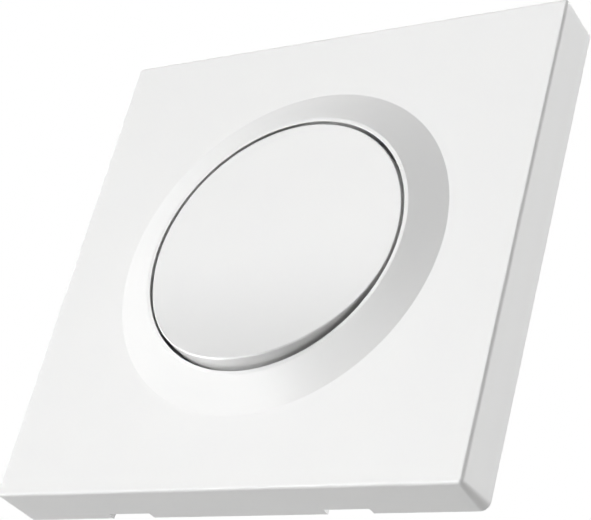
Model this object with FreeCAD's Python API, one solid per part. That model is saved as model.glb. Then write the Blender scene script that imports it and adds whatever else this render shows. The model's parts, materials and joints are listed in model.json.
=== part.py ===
import FreeCAD, Part

# Flush-mounted smart light switch: a square cover frame with a raised conical ring, and a round
# push rocker in it whose lower edge curves out to a lip. Behind them are a hinge, a push contact,
# a radio board, a relay board and four push-in wire terminals in a round housing for a wall box.
# Row frame, in millimetres: X to the right, Z up, Y into the wall. The wall plane is Y = 0,
# the origin is on the switch's centre line, and the side that people see looks along -Y.

import math
import os

from FreeCAD import Vector

# How far fused pieces sink into each other, and how far a cutting tool stands out
bite = 0.2
over = 1.0

# Support frame, sized by the wall box's screw spacing
screw_spacing = 60.0
screw_slot_r = 1.8
screw_slot_length = 7.0
support_edge = 5.5
support_corner_r = 4.0
support_t = 1.2
opening_play = 0.5

# Cover frame
frame_overhang = 5.5
plate_depth = 8.4
plate_corner_r = 2.1
plate_edge_r = 0.5
side_wall = 1.8
front_wall = 1.8
ring_foot_r = 28.9
ring_run = 5.8
ring_rise = 1.9
rim_width = 0.7
collar_wall = 1.4
collar_gap = 0.7
rib_t = 1.0
rib_h = 1.5
rib_count = 8
pry_w = 7.7
pry_depth = 1.4
pry_left_x = -19.9
pry_right_x = 18.8

# Snap arms of the cover frame and the lugs they hold on
clip_z = 20.0
clip_w = 6.0
clip_t = 1.2
clip_gap = 0.3
clip_end_gap = 0.3
barb = 0.9
barb_h = 1.5
lug_w = 10.0
lug_h = 3.3
lug_corner_r = 1.0
window_play = 0.25

# Rocker cap
cap_play = 0.46
cap_wall = 1.4
cap_edge = 0.2
scoop_start = 3.0
scoop_r = 73.0
skirt_h = 3.4
pad_h = 0.9
pad_w = 3.0
pad_turn = 22.0
cap_hook_inset = 4.26
cap_hook_angles = (15.0, 165.0, 235.0, 305.0)
cap_hook_t = 1.1
cap_hook_w = 4.0
cap_hook_barb = 0.5
cap_hook_gap = 0.05
hook_play = 0.2

# Rocker carrier and its hinge
carrier_play = 0.8
carrier_t = 1.2
axle_inset = 5.74
axle_r = 0.75
axle_seat_play = 0.02
axle_play = 0.05
hinge_r = 1.5
hinge_play = 0.2
knuckle_gap = 0.3
knuckle_in_x = 6.4
knuckle_out_x = 10.6
ear_t = 1.8
stop_hook_x = 6.0
stop_hook_w = 3.2
stop_hook_t = 1.2
stop_hook_barb = 0.8
stop_hook_h = 1.0
stop_hook_clear = 0.5
stop_gap = 0.1

# Return spring, a bent strip with an arm to each side
leaf_z = -8.7
leaf_w = 3.8
leaf_t = 0.3
leaf_foot_x = 4.0
leaf_tip_x = 12.0
leaf_tip_flat = 0.8
leaf_tip_bend = 0.9
leaf_seat_gap = 0.02
leaf_peg_x = 2.4
leaf_peg_r = 0.7
leaf_peg_h = 0.8
leaf_peg_play = 0.05

# Chassis that carries the rocker
chassis_play = 0.55
chassis_wall = 1.2
flange_lap = 2.1
flange_t = 1.1
spigot_play = 0.15
spigot_wall = 1.2
key_angles = (45.0, 225.0)
key_w = 3.6
key_h = 1.3
key_play = 0.15
key_short = 0.1

# Push contact
tact_z = 1.5
tact_w = 6.0
tact_h = 3.5
tact_cover_t = 0.3
tact_cover_play = 0.02
tact_window_play = 0.3
stem_r = 1.6
stem_play = 0.05
stem_gap = 0.08
stem_foot_h = 0.6
stem_foot_r = 2.2
stem_travel = 0.35
stem_well_floor = 0.1
push_boss_r = 2.0
push_boss_h = 1.7

# Rear housing
housing_r = 22.9
housing_wall = 1.6
housing_edge = 1.2
lug_catch = 1.2
lug_catch_w = 6.0
lug_catch_gap = 0.15
lug_catch_flat = 0.35
lug_catch_len = 2.6
lug_catch_angles = (0.0, 90.0, 180.0, 270.0)
rib_angles = (30.0, 90.0, 150.0, 210.0, 270.0, 330.0)
board_rib_w = 1.8
boss_r = 2.4
boss_edge = 0.6
boss_floor = 0.6
pillar_wall = 1.0
screw_r = 1.0
screw_play = 0.02
screw_clear = 0.2
screw_tip_gap = 0.3
screw_head_r = 2.0
screw_head_h = 1.3
screw_head_play = 0.25
screw_head_sink = 0.1
screw_length = 8.4
screw_slot_w = 0.6
screw_slot_h = 0.6

# Boards
board_t = 1.6
board_play = 0.4
board_seat = 1.2
board_pass = 0.3
board_drop = 2.7
board_space = 5.8
header_w = 15.2
header_h = 5.0
header_edge = 3.9
header_bevel = 0.5
radio_w = 18.0
radio_h = 12.0
radio_t = 0.8
radio_z = 4.0
shield_w = 13.0
shield_h = 10.0
shield_t = 2.1
shield_x = -1.9
shield_edge = 0.4

# Parts on the power board
rear_space = 12.8
part_gap = 0.9
relay_w = 18.4
relay_h = 10.2
relay_gap = 2.2
relay_headroom = 0.5
relay_edge = 0.5
relay_step = 0.3
relay_foot_h = 2.5
core_w = 10.0
core_headroom = 2.6
bobbin_w = 6.4
bobbin_wall = 1.6
bobbin_play = 0.05
bobbin_r = 1.0
capacitor_r = 3.15
capacitor_h = 11.0
capacitor_edge = 0.3
varistor_r = 3.5
varistor_t = 3.4
varistor_lift = 1.2
lead_w = 0.7
lead_spread = 1.8
fuse_r = 1.8
fuse_h = 8.0
fuse_edge = 0.4

# Wire terminals
terminal_count = 4
terminal_pitch = 6.8
block_side = 0.7
block_gap = 0.5
block_wall = 1.5
block_roof = 1.7
block_step = 0.65
block_step_play = 0.2
nose_proud = 0.4
nose_play = 0.15
well_w = 4.6
well_h = 4.7
cavity_depth = 5.9
cavity_head = 0.5
channel_wall = 1.8
button_w = 3.2
button_h = 2.0
button_play = 0.1
button_travel = 1.2
button_edge = 0.3
button_foot_t = 0.6
button_foot_lift = 0.1
button_foot_top = 0.3
foot_gap = 0.05
busbar_t = 0.8
busbar_play = 0.3
busbar_short = 0.1
clamp_t = 0.35
clamp_play = 0.4
clamp_gap = 0.05
clamp_anchor = 1.4
clamp_tip = 2.4
clamp_bend = 1.2
clamp_face_h = 1.5

# Widths and radii worked out from the sizes above
support_w = screw_spacing + 2 * support_edge
plate_w = support_w + 2 * frame_overhang
clip_in_x = support_w / 2 + clip_gap
rim_outer_r = ring_foot_r - ring_run
hole_r = rim_outer_r - rim_width
collar_r = hole_r + collar_wall
cap_r = hole_r - cap_play
skirt_in_r = cap_r - cap_wall
carrier_r = skirt_in_r - carrier_play
cap_hook_r = carrier_r - cap_hook_inset
axle_z = carrier_r - axle_inset
opening_r = housing_r + opening_play
flange_r = opening_r + flange_lap
housing_in_r = housing_r - housing_wall
spigot_r = housing_in_r - spigot_play
drum_r = hole_r - chassis_play
drum_in_r = min(drum_r, spigot_r) - spigot_wall
control_board_r = housing_in_r - board_play
upper_rib_r = control_board_r - board_seat
power_board_r = upper_rib_r - board_pass
lower_rib_r = power_board_r - board_seat
boss_x = housing_in_r - boss_r - boss_edge
notch_h = boss_r + board_play
ear_in_x = knuckle_out_x + hinge_play
ear_out_x = ear_in_x + ear_t

# Depths along Y worked out from the sizes above, from the face to the back
face_y = -plate_depth
ceiling_y = face_y + front_wall
rim_y = face_y - ring_rise
cap_ceiling_y = rim_y + cap_wall
cap_rear_y = rim_y + skirt_h
carrier_front_y = cap_ceiling_y + pad_h
carrier_rear_y = carrier_front_y + carrier_t
axle_y = carrier_rear_y + hinge_play + hinge_r
wall_front_y = axle_y + hinge_r + knuckle_gap
wall_rear_y = wall_front_y + chassis_wall
flange_front_y = -support_t - flange_t
drum_front_y = min(wall_front_y, flange_front_y)
collar_rear_y = flange_front_y - collar_gap
clip_end_y = -support_t - clip_end_gap
control_board_y = wall_rear_y + board_drop
control_rear_y = control_board_y + board_t
power_board_y = control_rear_y + board_space
power_rear_y = power_board_y + board_t
housing_floor_y = power_rear_y + rear_space
housing_end_y = housing_floor_y + housing_wall
nose_end_y = housing_end_y + nose_proud
tact_top_y = control_board_y - tact_h
stem_tip_y = carrier_rear_y + push_boss_h + stem_gap
screw_seat_y = wall_front_y + screw_head_h + screw_head_sink
screw_end_y = screw_seat_y + screw_length
screw_hole_end_y = screw_end_y + screw_tip_gap
boss_end_y = screw_hole_end_y + boss_floor
cavity_end_y = power_rear_y + cavity_depth


def chord_z(radius, half_width):
    """Half height of the chord at half_width from the middle of a circle."""
    return math.sqrt(radius * radius - half_width * half_width)


# Heights of the stop hooks, the terminals and the parts on the power board
stop_hook_tip_z = -chord_z(min(carrier_r, drum_in_r - stop_hook_clear), stop_hook_x + stop_hook_w / 2)
stop_hook_low_z = stop_hook_tip_z + stop_hook_barb
stop_hook_high_z = stop_hook_low_z + stop_hook_t
block_w = terminal_count * terminal_pitch + 2 * block_side
block_low_z = -chord_z(housing_in_r - block_gap, block_w / 2)
well_low_z = block_low_z + block_wall
well_high_z = well_low_z + well_h
button_low_z = well_high_z + channel_wall
button_high_z = button_low_z + button_h
cavity_high_z = button_high_z + cavity_head
block_high_z = cavity_high_z + block_roof
relay_high_z = chord_z(housing_in_r - relay_gap, relay_w / 2)
relay_low_z = relay_high_z - relay_h
core_z = (block_high_z + part_gap, relay_low_z - part_gap)
header_low_z = -power_board_r + header_edge
varistor_z = block_high_z + part_gap + varistor_r
varistor_x = -(relay_w / 2 + part_gap + varistor_t / 2)
fuse_x = varistor_x - varistor_t / 2 - part_gap - fuse_r
fuse_z = notch_h + fuse_r
capacitor_x = relay_w / 2 + part_gap + capacitor_r
capacitor_z = notch_h + capacitor_r
terminal_xs = [terminal_pitch * (i - (terminal_count - 1) / 2) for i in range(terminal_count)]


def block(x, y, z):
    """A box between the low and high value given on each axis."""
    return Part.makeBox(x[1] - x[0], y[1] - y[0], z[1] - z[0], Vector(x[0], y[0], z[0]))


def rod(radius, y, x=0.0, z=0.0):
    """A cylinder along Y."""
    return Part.makeCylinder(radius, y[1] - y[0], Vector(x, y[0], z), Vector(0, 1, 0))


def cross_rod(radius, x, y, z):
    """A cylinder along X."""
    return Part.makeCylinder(radius, x[1] - x[0], Vector(x[0], y, z), Vector(1, 0, 0))


def turned(shape, angle):
    """A copy turned about the centre line, from +X towards +Z."""
    copy = shape.copy()
    copy.rotate(Vector(0, 0, 0), Vector(0, 1, 0), -angle)
    return copy


def lathe(points):
    """A closed outline of (radius, y) points, turned once about the centre line."""
    outline = Part.makePolygon([Vector(r, y, 0) for r, y in points + points[:1]])
    return Part.Face(outline).revolve(Vector(0, 0, 0), Vector(0, 1, 0), 360)


def rounded_square(width, corner_r, y):
    """A square prism along Y with rounded corners, centred on the centre line."""
    half = width / 2
    prism = block((-half, half), y, (-half, half))
    upright = [e for e in prism.Edges if abs(e.tangentAt(e.FirstParameter).y) > 0.9]
    return prism.makeFillet(corner_r, upright)


def side_profile(points, x):
    """A prism along X with the outline given as (y, z) points."""
    outline = Part.makePolygon([Vector(x[0], y, z) for y, z in points + points[:1]])
    return Part.Face(outline).extrude(Vector(x[1] - x[0], 0, 0))


def strip(path, thickness, x):
    """A bent metal strip: the path of (y, z) points with mitred corners, as wide as x says."""
    half = thickness / 2
    normals = []
    for (y0, z0), (y1, z1) in zip(path, path[1:]):
        length = math.hypot(y1 - y0, z1 - z0)
        normals.append((-(z1 - z0) / length, (y1 - y0) / length))
    left, right = [], []
    for i, (y, z) in enumerate(path):
        before = normals[max(i - 1, 0)]
        after = normals[min(i, len(normals) - 1)]
        ny, nz = before[0] + after[0], before[1] + after[1]
        scale = 2 * half / (ny * ny + nz * nz)
        left.append((y + ny * scale, z + nz * scale))
        right.append((y - ny * scale, z - nz * scale))
    return side_profile(left + right[::-1], x)


def joined(first, others):
    """The pieces fused to one solid."""
    return first.fuse(others).removeSplitter()


def both_sides(shape):
    """The shape and its mirror image across the YZ plane."""
    return [shape, shape.mirror(Vector(0, 0, 0), Vector(1, 0, 0))]


def snap_arm():
    """One snap arm of the cover frame, on the right: a bar with a barb that points inwards."""
    half = clip_w / 2
    z = (clip_z - half, clip_z + half)
    arm = block((clip_in_x, clip_in_x + clip_t), (ceiling_y - front_wall / 2, clip_end_y), z)
    tip = clip_in_x - clip_gap - barb
    top_y = clip_end_y - barb_h
    outline = [
        Vector(clip_in_x + clip_t, clip_end_y, z[0]),
        Vector(clip_in_x, clip_end_y, z[0]),
        Vector(tip, top_y + barb_h / 3, z[0]),
        Vector(tip, top_y, z[0]),
        Vector(clip_in_x + clip_t, top_y, z[0]),
    ]
    wedge = Part.Face(Part.makePolygon(outline + outline[:1])).extrude(Vector(0, 0, clip_w))
    return arm.fuse(wedge)


def four_corners(shape):
    """The shape in its own corner and mirrored to the other three."""
    found = []
    for copy in both_sides(shape):
        found += [copy, copy.mirror(Vector(0, 0, 0), Vector(0, 0, 1))]
    return found


def frame_rib(hollow_y):
    """One rib at angle 0 behind the front wall, from the collar out, up against the cone's inside."""
    points = [
        Vector(collar_r - bite, hollow_y - bite, -rib_t / 2),
        Vector(ring_foot_r, ceiling_y - bite, -rib_t / 2),
        Vector(plate_w, ceiling_y - bite, -rib_t / 2),
        Vector(plate_w, ceiling_y + rib_h, -rib_t / 2),
        Vector(collar_r - bite, ceiling_y + rib_h, -rib_t / 2),
    ]
    return Part.Face(Part.makePolygon(points + points[:1])).extrude(Vector(0, 0, rib_t))


def cover_frame():
    """Square shell with a rounded front edge, a conical ring with a flat rim, and a collar."""
    outer = rounded_square(plate_w, plate_corner_r, (face_y, 0))
    front = [e for e in outer.Edges if all(abs(v.Y - face_y) < 1e-6 for v in e.Vertexes)]
    outer = outer.makeFillet(plate_edge_r, front)
    pocket = rounded_square(plate_w - 2 * side_wall, plate_corner_r / 2, (ceiling_y, over))
    ring = lathe([(hole_r, rim_y), (rim_outer_r, rim_y), (ring_foot_r, face_y),
                  (ring_foot_r, face_y + front_wall / 2), (hole_r, face_y + front_wall / 2)])
    collar = lathe([(hole_r, ceiling_y - front_wall / 2), (collar_r, ceiling_y - front_wall / 2),
                    (collar_r, collar_rear_y), (hole_r, collar_rear_y)])
    hollow_y = ceiling_y - ring_rise * (ring_foot_r - collar_r) / ring_run
    hollow = lathe([(ring_foot_r, ceiling_y), (ring_foot_r, over), (collar_r, over), (collar_r, hollow_y)])
    shell = joined(outer.cut([pocket, rod(hole_r, (face_y - over, over))]), [ring])
    shell = shell.cut([hollow, rod(hole_r, (rim_y - over, over))])
    rib = frame_rib(hollow_y)
    step = 360.0 / rib_count
    reach = rounded_square(plate_w - side_wall, plate_corner_r, (face_y, 0))
    ribs = [turned(rib, step * (i + 0.5)).common(reach) for i in range(rib_count)]
    shell = joined(shell, [collar] + ribs + four_corners(snap_arm()))
    notches = []
    for x in (pry_left_x, pry_right_x):
        low = -plate_w / 2
        z = (low - over, low + side_wall + bite)
        notches.append(block((x - pry_w / 2, x + pry_w / 2), (-pry_depth, over), z))
    return shell.cut(notches).removeSplitter()


def slot(x, z, along_x):
    """A slot through the support frame with round ends."""
    run = screw_slot_length / 2 - screw_slot_r
    y = (-support_t - over, over)
    if along_x:
        ends = [rod(screw_slot_r, y, x - run, z), rod(screw_slot_r, y, x + run, z)]
        middle = block((x - run, x + run), y, (z - screw_slot_r, z + screw_slot_r))
    else:
        ends = [rod(screw_slot_r, y, x, z - run), rod(screw_slot_r, y, x, z + run)]
        middle = block((x - screw_slot_r, x + screw_slot_r), y, (z - run, z + run))
    return joined(middle, ends)


def support_frame():
    """Steel plate with a round opening, screw slots and four upright lugs with windows."""
    half = support_w / 2
    plate = rounded_square(support_w, support_corner_r, (-support_t, 0))
    z = (clip_z - lug_w / 2, clip_z + lug_w / 2)
    lug = block((half - support_t, half), (-support_t - lug_h, 0), z)
    top = [e for e in lug.Edges
           if e.BoundBox.YMax < -support_t and abs(e.tangentAt(e.FirstParameter).x) > 0.9]
    lug = lug.makeFillet(lug_corner_r, top)
    barb_top = clip_end_y - barb_h
    window = block((half - support_t - over, half + over), (barb_top - window_play, clip_end_y + window_play),
                   (clip_z - clip_w / 2 - window_play, clip_z + clip_w / 2 + window_play))
    plate = joined(plate, four_corners(lug))
    spacing = screw_spacing / 2
    slots = [slot(x, 0, True) for x in (-spacing, spacing)]
    slots += [slot(0, z, False) for z in (-spacing, spacing)]
    opening = rod(opening_r, (-support_t - over, over))
    key = block((opening_r - over, opening_r + key_h + key_play), (-support_t - over, over),
                (-key_w / 2 - key_play, key_w / 2 + key_play))
    keys = [turned(key, a) for a in key_angles]
    return plate.cut([opening] + slots + keys + four_corners(window)).removeSplitter()


def cap_body(radius, inset, rear_y):
    """The rocker cap's outside, or inside it by inset: flat above, curving out to a lip below."""
    far = radius + over
    flat_y = rim_y + inset
    arc_r = scoop_r + inset
    centre_y = rim_y - scoop_r

    def on_arc(z):
        return centre_y + math.sqrt(arc_r * arc_r - (z + scoop_start) ** 2)

    bend_mid = -(scoop_start + far) / 2
    start = Vector(-far, flat_y, -scoop_start)
    end = Vector(-far, on_arc(-far), -far)
    edges = [
        Part.LineSegment(Vector(-far, rear_y, far), Vector(-far, flat_y, far)),
        Part.LineSegment(Vector(-far, flat_y, far), start),
        Part.Arc(start, Vector(-far, on_arc(bend_mid), bend_mid), end),
        Part.LineSegment(end, Vector(-far, rear_y, -far)),
        Part.LineSegment(Vector(-far, rear_y, -far), Vector(-far, rear_y, far)),
    ]
    outline = Part.Wire([e.toShape() for e in edges])
    slab = Part.Face(outline).extrude(Vector(2 * far, 0, 0))
    return slab.common(rod(radius, (rim_y - far, rear_y)))


def cap_hook():
    """One hook of the rocker cap, at angle 0: it grips behind the carrier plate, outwards."""
    half = cap_hook_t / 2
    z = (-cap_hook_w / 2, cap_hook_w / 2)
    catch_y = carrier_rear_y + cap_hook_gap
    end_y = catch_y + 2 * cap_hook_barb
    arm = block((cap_hook_r - half, cap_hook_r + half), (rim_y + cap_wall / 3, end_y), z)
    points = [
        Vector(cap_hook_r + half - bite, catch_y, z[0]),
        Vector(cap_hook_r + half + cap_hook_barb, catch_y, z[0]),
        Vector(cap_hook_r + half - bite, end_y, z[0]),
    ]
    tooth = Part.Face(Part.makePolygon(points + points[:1])).extrude(Vector(0, 0, cap_hook_w))
    return arm.fuse(tooth)


def rocker_cap():
    """Round cap with a skirt, a scooped face, seats for the carrier and four hooks."""
    outer = cap_body(cap_r, 0, cap_rear_y)
    rim = [e for e in outer.Edges if e.BoundBox.YMax < cap_rear_y - bite and e.BoundBox.ZLength > cap_r / 2
           and e.BoundBox.XLength > cap_r / 2]
    cap = outer.makeChamfer(cap_edge, rim).cut(cap_body(skirt_in_r, cap_wall, cap_rear_y + over))
    pad = block((cap_hook_r - pad_w / 2, cap_hook_r + pad_w / 2), (rim_y - scoop_r, carrier_front_y),
                (-pad_w / 2, pad_w / 2))
    inside = cap_body(cap_r - cap_wall / 2, cap_wall / 2, carrier_front_y)
    pads = [turned(pad, angle + pad_turn).common(inside) for angle in cap_hook_angles]
    hooks = [turned(cap_hook(), angle) for angle in cap_hook_angles]
    return joined(cap, pads + hooks)


def knuckle(x, root_y, r, bore_r):
    """A hinge eye round the axle with a root that reaches to a plate at root_y."""
    eye = cross_rod(r, x, axle_y, axle_z)
    y = sorted((axle_y, root_y))
    root = block(x, y, (axle_z - r, axle_z + r))
    hole = cross_rod(bore_r, (x[0] - over, x[1] + over), axle_y, axle_z)
    return eye.fuse(root).cut(hole)


def stop_hook():
    """Right hook of the carrier that catches behind the chassis wall and stops the rocker."""
    x = (stop_hook_x - stop_hook_w / 2, stop_hook_x + stop_hook_w / 2)
    root_y = carrier_rear_y - carrier_t / 2
    catch_y = wall_rear_y + stop_gap
    points = [
        (root_y, stop_hook_high_z),
        (catch_y + stop_hook_h, stop_hook_high_z),
        (catch_y + stop_hook_h, stop_hook_low_z),
        (catch_y, stop_hook_tip_z),
        (catch_y, stop_hook_low_z),
        (root_y, stop_hook_low_z),
    ]
    return side_profile(points, x)


def rocker_carrier():
    """Round plate under the cap with hinge eyes, stop hooks and a push boss."""
    plate = rod(carrier_r, (carrier_front_y, carrier_rear_y))
    window = block((cap_hook_r - cap_hook_t / 2 - hook_play, cap_hook_r + cap_hook_t / 2 + hook_play),
                   (carrier_front_y - over, carrier_rear_y + over),
                   (-cap_hook_w / 2 - hook_play, cap_hook_w / 2 + hook_play))
    plate = plate.cut([turned(window, angle) for angle in cap_hook_angles])
    root_y = carrier_rear_y - carrier_t / 2
    eye = knuckle((knuckle_in_x, knuckle_out_x), root_y, hinge_r, axle_r + axle_play)
    boss = rod(push_boss_r, (root_y, carrier_rear_y + push_boss_h), 0, tact_z)
    return joined(plate, both_sides(eye) + both_sides(stop_hook()) + [boss])


def rocker_axle():
    """Steel pin that the rocker turns on, held in the chassis's two ears."""
    return cross_rod(axle_r, (-ear_out_x, ear_out_x), axle_y, axle_z)


def return_leaf():
    """Spring strip on two pegs of the chassis, its arms bent out to bear on the carrier's back."""
    foot_y = wall_front_y - leaf_seat_gap - leaf_t / 2
    tip_y = carrier_rear_y + leaf_seat_gap + leaf_t / 2
    right = [(leaf_foot_x, foot_y), (leaf_tip_x - leaf_tip_flat, tip_y), (leaf_tip_x + leaf_tip_flat, tip_y),
             (leaf_tip_x + leaf_tip_flat + leaf_tip_bend, tip_y + leaf_tip_bend)]
    left = [(-x, y) for x, y in right[::-1]]
    width = (leaf_z - leaf_w / 2, leaf_z + leaf_w / 2)
    leaf = turned(strip([(y, x) for x, y in left + right], leaf_t, width), 90)
    hole = rod(leaf_peg_r + leaf_peg_play, (foot_y - over, foot_y + over), leaf_peg_x, leaf_z)
    return leaf.cut(both_sides(hole))


def ring(inner_r, outer_r, y):
    """A plain ring round the centre line."""
    return rod(outer_r, y).cut(rod(inner_r, (y[0] - over, y[1] + over)))


def front_chassis():
    """Moulded drum: front wall, flange on the support frame, spigot into the housing."""
    wall = rod(min(drum_r, spigot_r), (wall_front_y, wall_rear_y))
    drum = ring(drum_in_r, drum_r, (drum_front_y, -support_t))
    flange = ring(drum_in_r, flange_r, (flange_front_y, -support_t))
    spigot = ring(drum_in_r, spigot_r, (flange_front_y, control_board_y))
    key = block((opening_r - bite, opening_r + key_h), (flange_front_y, -key_short), (-key_w / 2, key_w / 2))
    keys = [turned(key, angle) for angle in key_angles]
    ears = both_sides(knuckle((ear_in_x, ear_out_x), wall_rear_y, hinge_r, axle_r + axle_seat_play))
    pegs = both_sides(rod(leaf_peg_r, (wall_front_y - leaf_peg_h, wall_rear_y), leaf_peg_x, leaf_z))
    pillar_y = (wall_front_y, control_board_y)
    pillar = rod(screw_head_r + screw_head_play + pillar_wall, pillar_y, boss_x, 0)
    pillars = both_sides(pillar.common(rod(spigot_r, pillar_y)))
    body = joined(wall, [drum, flange, spigot] + keys + ears + pillars + pegs)
    head_hole = rod(screw_head_r + screw_head_play, (wall_front_y - over, screw_seat_y), boss_x, 0)
    screw_hole = rod(screw_r + screw_clear, (wall_front_y - over, control_board_y + over), boss_x, 0)
    wall_y = (wall_front_y - over, wall_rear_y + over)
    half = tact_w / 2 + tact_window_play
    tact_window = block((-half, half), wall_y, (tact_z - half, tact_z + half))
    hook_half = stop_hook_w / 2 + window_play
    hook_window = block((stop_hook_x - hook_half, stop_hook_x + hook_half), wall_y,
                        (stop_hook_low_z - window_play, stop_hook_high_z + stop_hook_barb + window_play))
    windows = [tact_window] + both_sides(hook_window)
    return body.cut(windows + both_sides(head_hole) + both_sides(screw_hole)).removeSplitter()


def housing_screws():
    """Two slotted screws that hold the chassis on the rear housing."""
    head = rod(screw_head_r, (screw_seat_y - screw_head_h, screw_seat_y), boss_x, 0)
    shank = rod(screw_r, (screw_seat_y, screw_end_y), boss_x, 0)
    groove = block((boss_x - screw_head_r, boss_x + screw_head_r),
                   (screw_seat_y - screw_head_h - over, screw_seat_y - screw_head_h + screw_slot_h),
                   (-screw_slot_w / 2, screw_slot_w / 2))
    return Part.makeCompound(both_sides(joined(head, [shank]).cut(groove)))


def rear_housing():
    """Round cup for the wall box with a bevelled rear edge, stepped board ribs and screw bosses."""
    cup = lathe([(housing_in_r, -support_t), (housing_r, -support_t),
                 (housing_r, housing_end_y - housing_edge), (housing_r - housing_edge, housing_end_y),
                 (0, housing_end_y), (0, housing_floor_y), (housing_in_r, housing_floor_y)])
    root_r = housing_r - bite
    catch = lathe([(root_r, lug_catch_gap), (housing_r + lug_catch, lug_catch_gap),
                   (housing_r + lug_catch, lug_catch_gap + lug_catch_flat), (root_r, lug_catch_len)])
    sector = block((0, 2 * housing_r), (0, lug_catch_len + over), (-lug_catch_w / 2, lug_catch_w / 2))
    catches = [catch.common(turned(sector, angle)) for angle in lug_catch_angles]
    z = (-board_rib_w / 2, board_rib_w / 2)
    upper = block((upper_rib_r, housing_in_r + bite), (control_rear_y, housing_floor_y + bite), z)
    lower = block((lower_rib_r, housing_in_r + bite), (power_rear_y, housing_floor_y + bite), z)
    ribs = [turned(upper.fuse(lower), angle) for angle in rib_angles]
    boss = rod(boss_r, (control_board_y, boss_end_y), boss_x, 0)
    web = block((boss_x, housing_in_r + bite), (control_board_y, boss_end_y), (-boss_r / 2, boss_r / 2))
    cup = joined(cup, catches + ribs + both_sides(boss) + both_sides(web))
    hole = rod(screw_r + screw_play, (control_board_y - over, screw_hole_end_y), boss_x, 0)
    nose_half = block_w / 2 - block_step + nose_play
    window = block((-nose_half, nose_half), (housing_floor_y - over, housing_end_y + over),
                   (block_low_z + block_step - nose_play, block_high_z - block_step + nose_play))
    return cup.cut(both_sides(hole) + [window]).removeSplitter()


def board(radius, y):
    """Round circuit board with notches for the screw bosses."""
    plate = rod(radius, (y, y + board_t))
    notch = block((boss_x - notch_h, radius + over), (y - over, y + board_t + over), (-notch_h, notch_h))
    return plate.cut(both_sides(notch))


def board_header():
    """Plastic body of the connector between the two boards."""
    body = block((-header_w / 2, header_w / 2), (control_rear_y, power_board_y),
                 (header_low_z, header_low_z + header_h))
    edges = [e for e in body.Edges if abs(e.tangentAt(e.FirstParameter).y) > 0.9]
    return body.makeChamfer(header_bevel, edges)


def radio_module():
    """Small radio board on the back of the control board."""
    half_w, half_h = radio_w / 2, radio_h / 2
    return block((-half_w, half_w), (control_rear_y, control_rear_y + radio_t),
                 (radio_z - half_h, radio_z + half_h))


def radio_shield():
    """Drawn metal can over the radio's chips."""
    half_w, half_h = shield_w / 2, shield_h / 2
    y = (control_rear_y + radio_t, control_rear_y + radio_t + shield_t)
    can = block((shield_x - half_w, shield_x + half_w), y, (radio_z - half_h, radio_z + half_h))
    return can.makeChamfer(shield_edge, [e for e in can.Edges if e.BoundBox.YMax > y[1] - bite])


def tact_switch_body():
    """Moulded base of the push contact, with a well for the stem's foot."""
    half = tact_w / 2
    well_top_y = tact_top_y + tact_cover_t
    base = block((-half, half), (well_top_y, control_board_y), (tact_z - half, tact_z + half))
    well_floor_y = well_top_y + stem_foot_h + stem_travel + stem_well_floor
    return base.cut(rod(stem_foot_r + stem_play, (well_top_y - over, well_floor_y), 0, tact_z))


def tact_switch_cover():
    """Steel plate that keeps the stem in its base."""
    half = tact_w / 2
    y = (tact_top_y, tact_top_y + tact_cover_t - tact_cover_play)
    plate = block((-half, half), y, (tact_z - half, tact_z + half))
    return plate.cut(rod(stem_r + stem_play, (y[0] - over, y[1] + over), 0, tact_z))


def tact_switch_stem():
    """Round stem of the push contact with a wider foot under the cover plate."""
    foot_y = tact_top_y + tact_cover_t + tact_cover_play
    stem = rod(stem_r, (stem_tip_y, foot_y + stem_foot_h), 0, tact_z)
    foot = rod(stem_foot_r, (foot_y, foot_y + stem_foot_h), 0, tact_z)
    return joined(stem, [foot])


def relay():
    """Sealed relay case with bevelled edges and a mould step at its foot."""
    half = relay_w / 2
    foot_y = (power_rear_y, power_rear_y + relay_foot_h)
    foot = block((-half, half), foot_y, (relay_low_z, relay_high_z))
    case_y = (power_rear_y, housing_floor_y - relay_headroom)
    case = block((-half + relay_step, half - relay_step), case_y,
                 (relay_low_z + relay_step, relay_high_z - relay_step))
    rear = [e for e in case.Edges if e.BoundBox.YMin > case_y[1] - bite]
    return joined(foot, [case.makeChamfer(relay_edge, rear)])


def core_depths():
    """Front and rear of the transformer's core."""
    return power_rear_y + bobbin_wall, housing_floor_y - core_headroom


def transformer_core():
    """Two ferrite legs and a yoke round the winding former."""
    y = core_depths()
    core = block((-core_w / 2, core_w / 2), y, core_z)
    gap_z = (core_z[0] - over, core_z[1] + over)
    gap = block((-bobbin_w / 2, bobbin_w / 2), (y[0] + bobbin_wall, y[1] - bobbin_wall), gap_z)
    return core.cut(gap)


def transformer_bobbin():
    """Winding former: a foot on the board and a wound barrel inside the core."""
    y = core_depths()
    foot = block((-core_w / 2, core_w / 2), (power_rear_y, y[0] - bobbin_play), core_z)
    half = bobbin_w / 2 - bobbin_play
    barrel_y = (y[0] + bobbin_wall + bobbin_play, y[1] - bobbin_wall - bobbin_play)
    barrel = block((-half, half), barrel_y, core_z)
    edges = [e for e in barrel.Edges if abs(e.tangentAt(e.FirstParameter).x) > 0.9]
    round_r = min(bobbin_r, (core_z[1] - core_z[0]) / 3)
    return Part.makeCompound([foot, barrel.makeFillet(round_r, edges)])


def upright_can(radius, height, edge, x, z):
    """A round can on the power board with a bevelled rear edge."""
    y = (power_rear_y, power_rear_y + height)
    can = rod(radius, y, x, z)
    return can.makeChamfer(edge, [e for e in can.Edges if e.BoundBox.YMin > y[1] - bite])


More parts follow.
